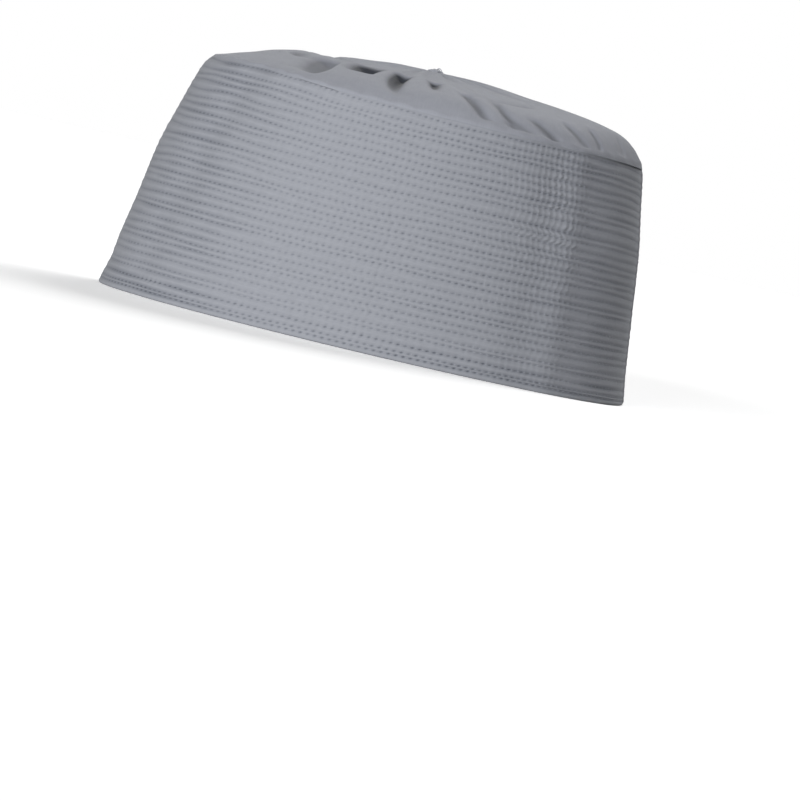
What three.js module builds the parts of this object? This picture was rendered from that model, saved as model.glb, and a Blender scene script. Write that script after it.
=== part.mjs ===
import * as THREE from 'three';
import { ParametricGeometry } from 'three/addons/geometries/ParametricGeometry.js';
import { mergeVertices } from 'three/addons/utils/BufferGeometryUtils.js';

// A plain grey kufi: a stiff stitched band that leans in towards its top, and a soft crown whose
// folds are gathered at a small knot. Lengths are millimetres and angles are degrees. The cap
// stands on its rim at z = 0 with +Z up. The front faces -Y, the seam of the band is at the back,
// +Y, and the wearer's left is +X. Angles turn from +X towards +Y.

// Driving dimensions
const RIM_LENGTH = 206;
const RIM_WIDTH = 158;
const SEAM_HEIGHT = 90;
const BAND_WALL = 2.2;
const CROWN_WALL = 1.4;
const GAP = 0.3;
const EDGE_ROUND = 0.5;
const BACK_FULLNESS = 0.03;
const CROWN_OVERHANG = 0.1;
const BACK_OVERHANG = 0.8;
const BACK_OVERHANG_ANGLE = 72;
const BACK_OVERHANG_WIDTH = 34;
const CROWN_CENTRE_Y = 3.9;
const SEAM_WELT = 0.7;
const SEAM_WELT_WIDTH = 2.6;
const KNOT_RADIUS = 3;
const KNOT_HEIGHT = 1.8;
const KNOT_DISH_DEPTH = 1.3;
const KNOT_DISH_RADIUS = 4.5;

// How far the front, the back and the sides of the band lean in from the rim, by height. The back
// leaves room for the seam's welt.
const LEAN = [
	{ height: 0, front: 0, back: 0.7, side: 0 },
	{ height: 4, front: 0.8, back: 1.4, side: 0.2 },
	{ height: 8, front: 2.0, back: 2.1, side: 0.4 },
	{ height: 12, front: 2.9, back: 2.7, side: 0.5 },
	{ height: 20, front: 3.9, back: 3.7, side: 0.7 },
	{ height: 36, front: 6.9, back: 5.7, side: 1.1 },
	{ height: 57, front: 10.4, back: 8.3, side: 1.7 },
	{ height: 74, front: 15.1, back: 11.5, side: 2.5 },
	{ height: 88, front: 19.4, back: 14.1, side: 3.4 },
	{ height: 92, front: 21.4, back: 15.2, side: 3.7 },
	{ height: 95, front: 24.4, back: 17.0, side: 4.4 },
];

// How far the seam of the crown rises over SEAM_HEIGHT, by the turn from the front. Lines of the
// band below it rise less, by a power of their height.
const SEAM_ARCH = [
	{ turn: 0, rise: 3.8 },
	{ turn: 30, rise: 4.2 },
	{ turn: 45, rise: 4.1 },
	{ turn: 58, rise: 3.2 },
	{ turn: 70, rise: 2.1 },
	{ turn: 90, rise: 1.4 },
	{ turn: 120, rise: 1.0 },
	{ turn: 145, rise: 0.8 },
	{ turn: 160, rise: 0.3 },
	{ turn: 172, rise: -0.3 },
	{ turn: 180, rise: -0.5 },
];
const ARCH_FADE = 0.9;
const ARCH_REACH = 12;

// Upright creases of the band. A raised one is positive. Share is what is left of it at the rim,
// and drift is how far it has turned there.
const BAND_CREASES = [
	{ angle: -51, raised: -1.2, width: 6, share: 0.3, drift: -2 },
	{ angle: 38, raised: -0.5, width: 5, share: 0.6, drift: -2 },
	{ angle: 46, raised: 0.5, width: 4, share: 0.8, drift: -2 },
	{ angle: 132, raised: 0.6, width: 5, share: 0.5, drift: 2 },
	{ angle: 227, raised: -0.8, width: 6, share: 0.3, drift: 2 },
];

// Height of the crown over SEAM_HEIGHT along the front and the back, by share of its radius.
const CROWN_PROFILE = [
	{ radius: 0, front: 17.2, back: 17.2 },
	{ radius: 0.15, front: 16.8, back: 17.1 },
	{ radius: 0.3, front: 15.5, back: 16.3 },
	{ radius: 0.43, front: 14.6, back: 15.3 },
	{ radius: 0.53, front: 14.0, back: 14.7 },
	{ radius: 0.6, front: 13.7, back: 14.2 },
	{ radius: 0.74, front: 11.2, back: 12.8 },
	{ radius: 0.84, front: 8.0, back: 11.1 },
	{ radius: 0.9, front: 5.9, back: 9.2 },
	{ radius: 0.95, front: 3.5, back: 6.0 },
	{ radius: 0.98, front: 1.7, back: 2.9 },
	{ radius: 0.994, front: 0.8, back: 1.4 },
	{ radius: 1, front: 0, back: 0 },
];
const FRONT_DIP_DEPTH = 2.4;
const FRONT_DIP_RADIUS = 0.52;
const FRONT_DIP_WIDTH = 0.055;
const FRONT_DIP_POWER = 4;

// Folds of one half of the crown, which the other half repeats. Each line runs from an upper to a
// lower point, given by its angle and the crown's rise there, and bows sideways by its bend. The fold
// opens and closes over some millimetres of rise, and fades over its left width towards smaller
// angles and its right width towards larger ones.
const FOLDS = [
	{
		angle: -94.5, rise: 14.6, toAngle: -91.4, toRise: 11.2, bend: 0,
		opening: 0.8, closing: 2, depth: 1.6, left: 8, right: 1.2,
	},
	{
		angle: -74, rise: 13.2, toAngle: -55, toRise: 10.8, bend: 0,
		opening: 0.5, closing: 0.6, depth: 1.6, left: 1, right: 5,
	},
	{
		angle: -39.5, rise: 12.9, toAngle: -29.5, toRise: 3.5, bend: 0,
		opening: 1, closing: 4.5, depth: 2.7, left: 9, right: 0.9,
	},
	{
		angle: -25.5, rise: 16.2, toAngle: -24, toRise: 10.4, bend: 0,
		opening: 5, closing: 0.5, depth: 5.5, left: 7, right: 3,
	},
	{
		angle: -10.5, rise: 13.8, toAngle: -5.5, toRise: 4, bend: -1,
		opening: 0.4, closing: 7.5, depth: 1.8, left: 0.8, right: 3.2,
	},
	{
		angle: 1.5, rise: 13.6, toAngle: 2, toRise: 9, bend: 0,
		opening: 0.3, closing: 4, depth: 1.5, left: 1.8, right: 2.2,
	},
	{
		angle: 12, rise: 12.4, toAngle: 18.5, toRise: 2, bend: 0,
		opening: 1, closing: 4, depth: 2, left: 4.5, right: 2.2,
	},
	{
		angle: 23, rise: 12.2, toAngle: 32.5, toRise: 1.4, bend: -4,
		opening: 1.2, closing: 3, depth: 1.9, left: 4, right: 2.2,
	},
	{
		angle: 24, rise: 5.6, toAngle: 26.5, toRise: 1.6, bend: 0,
		opening: 1, closing: 1.5, depth: 0.8, left: 1.8, right: 1.2,
	},
	{
		angle: 45, rise: 13.5, toAngle: 22, toRise: 10.9, bend: 0,
		opening: 0.5, closing: 0.6, depth: 1.3, left: 5, right: 0.8,
	},
	{
		angle: 31.5, rise: 8.8, toAngle: 39, toRise: 1.8, bend: 0,
		opening: 1.5, closing: 2.5, depth: 1.5, left: 3.5, right: 2,
	},
	{
		angle: 43.5, rise: 11, toAngle: 48.5, toRise: 2.2, bend: 0,
		opening: 3, closing: 3, depth: 0.9, left: 5, right: 3,
	},
	{
		angle: 55, rise: 10.4, toAngle: 54, toRise: 2.6, bend: 0,
		opening: 2, closing: 3, depth: 1, left: 4, right: 2.4,
	},
	{
		angle: 71, rise: 9.6, toAngle: 65, toRise: 3, bend: 0,
		opening: 2, closing: 2.5, depth: 0.7, left: 4, right: 2.4,
	},
];
const FOLD_HALVES = [0, 180];
const FOLD_LEAST_WIDTH = 1.6;

// The fine gathers round the knot
const GATHER_COUNT = 27;
const GATHER_DEPTH = 0.5;
const GATHER_PEAK = 0.26;
const GATHER_SWIRL = 20;

// The knot's outline, as shares of its radius and height
const KNOT_PROFILE = [
	{ across: 0, up: 0 },
	{ across: 0.5, up: 0.12 },
	{ across: 1, up: 0.4 },
	{ across: 0.85, up: 0.7 },
	{ across: 0.45, up: 0.92 },
	{ across: 0, up: 1 },
];

// How finely the faces are cut
const BAND_STEPS = 88;
const CROWN_STEPS = 128;
const KNOT_SIDES = 14;
const CROWN_RINGS = [1, 0.985, 0.96, 0.92, 0.87, 0.81, 0.75, 0.69, 0.63, 0.56, 0.46, 0.33, 0.18, 0.05, 0];
const SMALLEST_RADIUS = 0.05;
const SLOPE_STEP = 0.004;
const EDGE_FADE = 0.03;

// Colours
const BAND_COLOUR = 0x9b9ea5;
const CROWN_COLOUR = 0x9a9ba2;
const KNOT_COLOUR = 0x96979e;
const CLOTH_ROUGHNESS = 0.85;

const { clamp, degToRad, lerp } = THREE.MathUtils;

// The slope of one column of a table at a row
function slopeAt(table, key, column, row) {
	const before = table[Math.max(row - 1, 0)];
	const after = table[Math.min(row + 1, table.length - 1)];
	return (after[column] - before[column]) / (after[key] - before[key]);
}

// The value of one column of a table, on a smooth curve through its rows
function follow(table, key, column, value) {
	let row = 0;
	while (row < table.length - 2 && table[row + 1][key] < value) row += 1;
	const span = table[row + 1][key] - table[row][key];
	const t = clamp((value - table[row][key]) / span, 0, 1);
	const start = (2 * t ** 3 - 3 * t ** 2 + 1) * table[row][column];
	const end = (3 * t ** 2 - 2 * t ** 3) * table[row + 1][column];
	const startBend = (t ** 3 - 2 * t ** 2 + t) * span * slopeAt(table, key, column, row);
	const endBend = (t ** 3 - t ** 2) * span * slopeAt(table, key, column, row + 1);
	return start + end + startBend + endBend;
}

// A bell curve that is 1 where its argument is 0
function bell(x) {
	return Math.exp(-x * x);
}

// The difference of two angles, from -180 to 180
function turnBetween(from, to) {
	return THREE.MathUtils.euclideanModulo(to - from + 180, 360) - 180;
}

// 0 below 0 and 1 above 1, with a smooth step between them
function ease(x) {
	return THREE.MathUtils.smoothstep(x, 0, 1);
}

// How far the seam lies over SEAM_HEIGHT at an angle
function seamArch(angle) {
	return follow(SEAM_ARCH, 'turn', 'rise', Math.abs(turnBetween(-90, angle)));
}

// The oval of the band at a height: where its middle is, and half its length and width
function ovalAt(height) {
	const front = -RIM_LENGTH / 2 + follow(LEAN, 'height', 'front', height);
	const back = RIM_LENGTH / 2 - follow(LEAN, 'height', 'back', height);
	const side = RIM_WIDTH / 2 - follow(LEAN, 'height', 'side', height);
	return { middle: (front + back) / 2, length: (back - front) / 2, width: side };
}

// A point of an oval, moved out along its own outward direction
function ovalPoint(angle, outwards, height, target) {
	const oval = ovalAt(height);
	const across = Math.cos(degToRad(angle));
	const along = Math.sin(degToRad(angle));
	const size = Math.hypot(across / oval.width, along / oval.length);
	const x = oval.width * across * (1 + BACK_FULLNESS * along);
	const y = oval.middle + oval.length * along;
	target.set(
		x + (outwards * across) / oval.width / size,
		y + (outwards * along) / oval.length / size,
		height,
	);
}

// How far the band's creases and its back seam stand out at an angle and a height
function bandRelief(angle, height) {
	const drop = 1 - height / SEAM_HEIGHT;
	let relief = SEAM_WELT * bell(turnBetween(90, angle) / SEAM_WELT_WIDTH);
	for (const crease of BAND_CREASES) {
		const from = crease.angle + crease.drift * drop;
		const share = lerp(1, crease.share, drop);
		relief += crease.raised * share * bell(turnBetween(from, angle) / crease.width);
	}
	return relief;
}

// Closed faces from a point function, with the shared corners merged and the empty faces dropped
function closedFaces(pointAt, around, along) {
	const grid = new ParametricGeometry(pointAt, around, along);
	grid.deleteAttribute('normal');
	grid.deleteAttribute('uv');
	const merged = mergeVertices(grid, 1e-4);
	const corners = merged.index.array;
	const kept = [];
	for (let i = 0; i < corners.length; i += 3) {
		const [a, b, c] = [corners[i], corners[i + 1], corners[i + 2]];
		if (a !== b && b !== c && c !== a) kept.push(a, b, c);
	}
	merged.setIndex(kept);
	merged.computeVertexNormals();
	return merged;
}

// The section of the band's wall, once round it: up the outside and down the inside
function bandSection() {
	const top = SEAM_HEIGHT - GAP / 2;
	const rows = LEAN.filter((row) => row.height > EDGE_ROUND && row.height < top - EDGE_ROUND);
	const outside = [
		{ height: 0, inset: EDGE_ROUND },
		{ height: EDGE_ROUND, inset: 0 },
		...rows.map((row) => ({ height: row.height, inset: 0 })),
		{ height: top - EDGE_ROUND, inset: 0 },
		{ height: top, inset: EDGE_ROUND },
	];
	const inside = outside.map((row) => ({ height: row.height, inset: BAND_WALL - row.inset }));
	return [...outside, ...inside.reverse(), outside[0]];
}

function bandGeometry() {
	const section = bandSection();
	const last = section.length - 1;
	function pointAt(u, v, target) {
		const { height, inset } = section[Math.round(v * last)];
		const angle = 360 * (u % 1);
		const level = height + seamArch(angle) * (height / SEAM_HEIGHT) ** ARCH_FADE;
		ovalPoint(angle, bandRelief(angle, height) - inset, level, target);
	}
	return closedFaces(pointAt, BAND_STEPS, last);
}

// The height of the crown's outer face over SEAM_HEIGHT, before its folds, its dish and the arch
function domeRise(angle, radius) {
	const back = (1 + Math.sin(degToRad(angle))) / 2;
	const front = follow(CROWN_PROFILE, 'radius', 'front', radius);
	const rear = follow(CROWN_PROFILE, 'radius', 'back', radius);
	const groove = bell((radius - FRONT_DIP_RADIUS) / FRONT_DIP_WIDTH);
	const dip = FRONT_DIP_DEPTH * groove * (1 - back) ** FRONT_DIP_POWER;
	return lerp(front, rear, back) - dip;
}

function crownRise(angle, radius) {
	const dish = KNOT_DISH_DEPTH * bell((radius * RIM_LENGTH) / 2 / KNOT_DISH_RADIUS);
	return domeRise(angle, radius) - dish + seamArch(angle) * radius ** ARCH_REACH;
}

// How far one fold lowers the crown at an angle, a rise of the crown and its distance from the middle
function foldDepth(fold, angle, rise, slope, size) {
	const fall = fold.rise - fold.toRise;
	const along = clamp((fold.rise - rise) / fall, 0, 1);
	const turned = fold.toAngle - fold.angle;
	const centre = fold.angle + turned * along + 4 * fold.bend * along * (1 - along);
	const swirl = (turned + 4 * fold.bend * (1 - 2 * along)) / fall;
	const slant = degToRad(swirl) * slope * size;
	const away = (degToRad(turnBetween(centre, angle)) * size) / Math.hypot(1, slant);
	const width = Math.max(away < 0 ? fold.left : fold.right, FOLD_LEAST_WIDTH);
	const opened = ease((fold.rise - rise) / fold.opening);
	const closed = ease((rise - fold.toRise) / fold.closing);
	return fold.depth * opened * closed * bell(away / width);
}

// How far the gathers and the folds raise or lower the crown at an angle and a share of the radius
function crownRelief(angle, radius) {
	const seam = ovalAt(SEAM_HEIGHT);
	const mean = (seam.length + seam.width) / 2;
	const size = Math.max(radius, SMALLEST_RADIUS) * mean;
	const rise = domeRise(angle, radius);
	const slope = (rise - domeRise(angle, radius + SLOPE_STEP)) / (SLOPE_STEP * mean);
	const gather = Math.cos(degToRad((angle - GATHER_SWIRL * radius) * GATHER_COUNT));
	const near = bell((radius - GATHER_PEAK) / GATHER_PEAK) * ease(radius / GATHER_PEAK);
	let relief = GATHER_DEPTH * gather * near;
	for (const half of FOLD_HALVES) {
		for (const fold of FOLDS) relief -= foldDepth(fold, angle - half, rise, slope, size);
	}
	return relief * ease((1 - radius) / EDGE_FADE);
}

// How far the crown's edge stands out from the band, most over the back panels
function crownOverhang(angle) {
	const left = bell(turnBetween(BACK_OVERHANG_ANGLE, angle) / BACK_OVERHANG_WIDTH);
	const right = bell(turnBetween(180 - BACK_OVERHANG_ANGLE, angle) / BACK_OVERHANG_WIDTH);
	return CROWN_OVERHANG + BACK_OVERHANG * Math.max(left, right);
}

// A point of the crown, at a depth inside its outer face
function crownPoint(angle, radius, depth, target) {
	const arch = seamArch(angle);
	const seam = ovalAt(SEAM_HEIGHT + arch);
	const turn = degToRad(angle);
	const overhang = crownOverhang(angle) * radius ** ARCH_REACH;
	const width = seam.width + overhang;
	const length = seam.length + overhang;
	const middle = lerp(CROWN_CENTRE_Y, seam.middle, radius);
	const inner = Math.max(radius - SLOPE_STEP, 0);
	const fall = crownRise(angle, inner) - crownRise(angle, radius);
	const run = (SLOPE_STEP * (width + length)) / 2;
	const lean = radius > 0 ? Math.atan2(fall, run) : 0;
	const share = radius - (depth * Math.sin(lean) * 2) / (width + length);
	const rise = crownRise(angle, radius) + crownRelief(angle, radius) - depth * Math.cos(lean);
	target.set(
		share * width * Math.cos(turn) * (1 + BACK_FULLNESS * Math.sin(turn) * radius),
		middle + share * length * Math.sin(turn),
		SEAM_HEIGHT + GAP / 2 + Math.max(rise, arch),
	);
}

function crownGeometry() {
	const inside = CROWN_RINGS.slice().reverse();
	const rings = [
		...CROWN_RINGS.map((radius) => ({ radius, depth: 0 })),
		...inside.map((radius) => ({ radius, depth: CROWN_WALL })),
		{ radius: 1, depth: 0 },
	];
	const last = rings.length - 1;
	function pointAt(u, v, target) {
		const { radius, depth } = rings[Math.round(v * last)];
		crownPoint(360 * (u % 1), radius, depth, target);
	}
	return closedFaces(pointAt, CROWN_STEPS, last);
}

// A low round tuft that sits in the crown's dish
function knotGeometry() {
	const outline = KNOT_PROFILE.map((row) => new THREE.Vector2(KNOT_RADIUS * row.across, KNOT_HEIGHT * row.up));
	const lathe = new THREE.LatheGeometry(outline, KNOT_SIDES);
	lathe.rotateX(Math.PI / 2);
	return lathe;
}

function clothMaterial(colour) {
	return new THREE.MeshStandardMaterial({ color: colour, roughness: CLOTH_ROUGHNESS, metalness: 0 });
}

function namedMesh(name, geometry, colour) {
	const mesh = new THREE.Mesh(geometry, clothMaterial(colour));
	mesh.name = name;
	return mesh;
}

const knot = namedMesh('gather_knot', knotGeometry(), KNOT_COLOUR);
const knotSeat = new THREE.Vector3();
crownPoint(0, 0, 0, knotSeat);
knot.position.set(0, knotSeat.y, knotSeat.z + GAP);

const group = new THREE.Group();
group.add(namedMesh('band', bandGeometry(), BAND_COLOUR));
group.add(namedMesh('crown', crownGeometry(), CROWN_COLOUR));
group.add(knot);

export default group;
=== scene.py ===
"""A plain grey kufi: a stiff band stitched in close level rows, and a gathered crown with a small knot.

The cap stands on its rim at z = 0. The front faces -Y, the back seam is at +Y and the wearer's left is
+X. Tables and sizes are in millimetres and degrees, angles turn from +X towards +Y, and the meshes are
made in metres.
"""

import math

import bpy
import numpy as np
from mathutils import Matrix, Vector


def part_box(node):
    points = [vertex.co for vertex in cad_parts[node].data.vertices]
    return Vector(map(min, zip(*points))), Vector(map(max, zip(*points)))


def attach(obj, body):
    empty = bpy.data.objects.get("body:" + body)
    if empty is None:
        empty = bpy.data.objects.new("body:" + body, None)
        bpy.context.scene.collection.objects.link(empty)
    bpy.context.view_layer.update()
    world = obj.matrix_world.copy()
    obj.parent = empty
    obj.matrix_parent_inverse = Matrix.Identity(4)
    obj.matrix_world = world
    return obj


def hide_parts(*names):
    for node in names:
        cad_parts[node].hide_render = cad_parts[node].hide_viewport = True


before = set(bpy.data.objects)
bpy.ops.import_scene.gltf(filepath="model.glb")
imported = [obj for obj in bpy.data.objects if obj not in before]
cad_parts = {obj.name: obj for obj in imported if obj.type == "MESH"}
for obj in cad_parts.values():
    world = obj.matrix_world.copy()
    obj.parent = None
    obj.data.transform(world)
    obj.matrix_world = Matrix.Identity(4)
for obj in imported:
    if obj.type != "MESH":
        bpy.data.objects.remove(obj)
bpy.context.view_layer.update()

MM = 0.001

# Sizes of the cap, as in the part
KNOT_LOW, KNOT_HIGH = (np.array(corner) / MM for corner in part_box("gather_knot"))
RIM_LENGTH = 206
RIM_WIDTH = 158
SEAM_HEIGHT = 90
SEAM_ANGLE = 90
SEAM_ARCH_FADE = 0.9
SEAM_ARCH_REACH = 12
BAND_WALL = 2.2
BACK_FULLNESS = 0.03
CROWN_CENTRE_Y = 3.9
KNOT_DISH_DEPTH = 1.3
KNOT_DISH_RADIUS = 4.5

# The crown's wall, a little thinner than in the part, and its edge, which stands out over the band.
# Over the back panels it stands out further, and its lower edge there has painted shade.
CROWN_WALL = 1.2
CROWN_LIP_OUT = 0.05
CROWN_LIP_DROP = 0.5
CROWN_LIP_THICKNESS = 0.15
BACK_OVERHANG = 0.4
BACK_OVERHANG_ANGLE = 72
BACK_OVERHANG_WIDTH = 34
BACK_SHADE = 0.3
BACK_SHADE_REACH = 0.11

# How far the front, the back and the sides of the band lean in from the rim, by height
LEAN = [
    dict(height=0, front=0, back=0.7, side=0),
    dict(height=4, front=0.8, back=1.4, side=0.2),
    dict(height=8, front=2.0, back=2.1, side=0.4),
    dict(height=12, front=2.9, back=2.7, side=0.5),
    dict(height=20, front=3.9, back=3.7, side=0.7),
    dict(height=36, front=6.9, back=5.7, side=1.1),
    dict(height=57, front=10.4, back=8.3, side=1.7),
    dict(height=74, front=15.1, back=11.5, side=2.5),
    dict(height=88, front=19.4, back=14.1, side=3.4),
    dict(height=92, front=21.4, back=15.2, side=3.7),
    dict(height=95, front=24.4, back=17.0, side=4.4),
]

# How far the seam rises over SEAM_HEIGHT, by the turn from the front
SEAM_ARCH = [
    dict(turn=0, rise=3.8),
    dict(turn=30, rise=4.2),
    dict(turn=45, rise=4.1),
    dict(turn=58, rise=3.2),
    dict(turn=70, rise=2.1),
    dict(turn=90, rise=1.4),
    dict(turn=120, rise=1.0),
    dict(turn=145, rise=0.8),
    dict(turn=160, rise=0.3),
    dict(turn=172, rise=-0.3),
    dict(turn=180, rise=-0.5),
]

# Upright creases of the band: share is what is left of one at the rim, drift how far it turned there
BAND_CREASES = [
    dict(angle=-49, raised=-1.4, width=6, share=0.4, drift=-12),
    dict(angle=38, raised=-0.5, width=5, share=0.6, drift=-2),
    dict(angle=46, raised=0.5, width=4, share=0.8, drift=-2),
    dict(angle=132, raised=0.6, width=5, share=0.5, drift=2),
    dict(angle=227, raised=-0.8, width=6, share=0.3, drift=8),
]

# Height of the crown over SEAM_HEIGHT along the front and the back, by share of its radius
CROWN_PROFILE = [
    dict(radius=0, front=17.2, back=17.2),
    dict(radius=0.15, front=16.8, back=17.1),
    dict(radius=0.3, front=15.5, back=16.3),
    dict(radius=0.43, front=14.6, back=15.3),
    dict(radius=0.53, front=14.0, back=14.7),
    dict(radius=0.6, front=13.7, back=14.2),
    dict(radius=0.74, front=11.2, back=12.8),
    dict(radius=0.84, front=8.0, back=11.1),
    dict(radius=0.9, front=5.9, back=9.2),
    dict(radius=0.95, front=3.5, back=6.0),
    dict(radius=0.98, front=1.7, back=2.9),
    dict(radius=0.994, front=0.8, back=1.4),
    dict(radius=1, front=0, back=0),
]
FRONT_DIP_DEPTH = 2.4
FRONT_DIP_RADIUS = 0.52
FRONT_DIP_WIDTH = 0.055

# Folds of one half of the crown, which the other half repeats. Each line runs from an upper to a lower
# point, given by its angle and the rise of the crown there, and bows sideways by its bend. The fold
# opens and closes over some millimetres of rise and lies outside its inner share of the radius. It
# fades over its left width towards smaller angles and its right width towards larger ones. Its shade
# is how dark the painted shade inside it is, core is the place along the line where that is most and
# reach how far it spreads along the line from there.
FOLDS = [
    dict(angle=-94.5, rise=14.6, to_angle=-91.4, to_rise=11.2, bend=0, inner=0,
         opening=0.8, closing=2.0, depth=1.6, left=8.0, right=1.4, shade=0.1, core=0.5, reach=1.0),
    dict(angle=-74.0, rise=13.4, to_angle=-54.0, to_rise=10.6, bend=0, inner=0,
         opening=0.9, closing=1.6, depth=1.3, left=2.2, right=5.0, shade=0.6, core=0.3, reach=0.5),
    dict(angle=-39.5, rise=12.9, to_angle=-35.0, to_rise=3.5, bend=3.5, inner=0.53,
         opening=1.0, closing=4.5, depth=3.1, left=9.0, right=1.5, shade=0.55, core=0.3, reach=0.6),
    dict(angle=-25.4, rise=14.1, to_angle=-22.6, to_rise=10.2, bend=0, inner=0.53,
         opening=0.7, closing=1.5, depth=4.1, left=6.3, right=3.4, shade=1.0, core=0.15, reach=0.5),
    dict(angle=-11.0, rise=13.9, to_angle=-6.0, to_rise=3.2, bend=-1, inner=0.53,
         opening=0.5, closing=8.5, depth=3.3, left=3.1, right=2.4, shade=1.0, core=0.05, reach=0.5),
    dict(angle=1.5, rise=13.6, to_angle=2.0, to_rise=9.0, bend=0, inner=0.53,
         opening=0.3, closing=4.0, depth=1.8, left=2.0, right=2.4, shade=0.95, core=0.1, reach=0.6),
    dict(angle=12.5, rise=11.9, to_angle=18.5, to_rise=2.0, bend=0, inner=0.53,
         opening=0.8, closing=3.5, depth=1.6, left=2.8, right=1.8, shade=0.5, core=0.3, reach=0.6),
    dict(angle=23.0, rise=12.2, to_angle=32.5, to_rise=1.4, bend=-4, inner=0.53,
         opening=1.2, closing=3.0, depth=1.4, left=2.4, right=1.6, shade=0.5, core=0.4, reach=0.6),
    dict(angle=24.0, rise=5.6, to_angle=26.5, to_rise=1.6, bend=0, inner=0.53,
         opening=1.0, closing=1.5, depth=0.8, left=1.8, right=1.2, shade=0.4, core=0.5, reach=1.0),
    dict(angle=45.0, rise=13.5, to_angle=22.0, to_rise=10.9, bend=0, inner=0.53,
         opening=0.9, closing=1.4, depth=1.0, left=5.0, right=1.8, shade=0.4, core=0.5, reach=0.5),
    dict(angle=31.5, rise=8.8, to_angle=39.0, to_rise=1.0, bend=0, inner=0.53,
         opening=1.5, closing=1.8, depth=1.3, left=2.8, right=1.2, shade=0.6, core=0.5, reach=1.0),
    dict(angle=43.5, rise=11.0, to_angle=49.0, to_rise=1.0, bend=0, inner=0.53,
         opening=3.0, closing=1.8, depth=1.1, left=3.0, right=1.2, shade=0.6, core=0.5, reach=1.0),
    dict(angle=55.0, rise=10.4, to_angle=54.0, to_rise=1.4, bend=0, inner=0.53,
         opening=2.0, closing=2.0, depth=1.1, left=2.8, right=1.2, shade=0.6, core=0.5, reach=1.0),
    dict(angle=71.0, rise=9.6, to_angle=65.0, to_rise=1.4, bend=0, inner=0.53,
         opening=2.0, closing=2.0, depth=0.9, left=2.8, right=1.3, shade=0.6, core=0.5, reach=1.0),
]
# The two halves: how far round, how deep their folds are and how dark their painted shade is
FOLD_HALVES = [
    dict(turn=0, depth=1.0, shade=1.0),
    dict(turn=180, depth=0.7, shade=0.35),
]
# Folds that start high on the crown run on from there towards the knot as soft furrows
FURROW_FROM_RISE = 11.8
FURROW_TO_RISE = 16.7
FURROW_DEPTH = 0.5
FURROW_WIDTH = 2.8
FURROW_BEND = 9
# As shares of a furrow's length: how far under the fold's upper end it starts, and how long it takes
# to open and to close
FURROW_LEAD = 0.25
FURROW_OPENING = 0.35
FURROW_CLOSING = 0.6
# The painted shade of a fold is darkest from this depth down, or from this share of its own depth if
# that is more
FOLD_DARKEST_DEPTH = 1.4
FOLD_DARKEST_SHARE = 0.4
FOLD_SHADE_POWER = 1.4
FOLD_EDGE_FADE = 0.015
FOLD_INNER_FADE = 0.09
FOLD_INSIDE_WIDTH = 5
FOLD_INSIDE_SPREAD = 0.8
SMALLEST_RADIUS = 0.02
SLOPE_STEP = 0.004
GATHER_COUNT = 27
GATHER_DEPTH = 0.55
GATHER_PEAK = 0.26
GATHER_TWIST = 20
# How the gathers sway and how unevenly far they reach, as waves round the crown
GATHER_WAVES = [
    dict(count=3, start=40, sway=5.0, reach=0.22),
    dict(count=7, start=110, sway=3.0, reach=0.42),
    dict(count=11, start=200, sway=1.5, reach=0.34),
]

# Unevenness of the crown's edge and of its slope, as random waves round it
EDGE_WAVES = dict(counts=(31, 47, 59, 83), height=0.12)
EDGE_WAVES_REACH = 0.05
EDGE_WAVES_FADE = 0.012
SLOPE_WAVES = dict(counts=(5, 8, 13), height=0.25)
SLOPE_WAVES_RADIUS = 0.6
SLOPE_WAVES_REACH = 0.3
# The rings of the crown's lip over the band, by how far they lie over its lowest line and inside its face
LIP_RINGS = [
    dict(over=0, inside=CROWN_LIP_THICKNESS),
    dict(over=0, inside=0.05),
    dict(over=0.04, inside=0.01),
    dict(over=0.2, inside=0),
]
# The crown's cloth never lies further than this under its seam
CROWN_UNDER_SEAM = 0.05

# Rows of stitching
HEM_ROWS = (2.2, 3.5, 6.2)
ROW_COUNT = 29
ROW_LOWEST = 9.1
ROW_HIGHEST = 88.6
ROW_SPREAD = 0.6
ROW_WANDER = 0.22
# How quickly the rows become free to wander over the rim, which is level
ROW_FREEDOM = 0.25
STITCHES = 209
STITCH_COLUMNS = 3
GROOVE_FLANK = 0.45
FLANK_SHARE = 0.3
HOLE_DEPTH = 0.42
# HOLE_STRENGTH is the range of the needle holes' depth and painted shade. HOLE_HALO and LINE_HALO are the
# shares of painted shade that spread to the rings beside a row.
HOLE_STRENGTH = (0.7, 1.0)
HOLE_HALO = 0.3
LINE_HALO = 0.6
PUFF_HEIGHT = 0.03
# Unevenness of the rows, as random waves round the cap, and of single points of the cloth
WANDER_COUNTS = (2, 3, 5, 9, 14)
LINE_WAVES = dict(counts=(7, 13, 23), height=0.2)
TENSION_WAVES = dict(counts=(3, 7, 11), height=0.15)
PUFF_WAVES = dict(counts=(9, 17, 29, 41), height=0.22)
FLANK_NOISE = 0.012
PUFF_NOISE = 0.02

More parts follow.
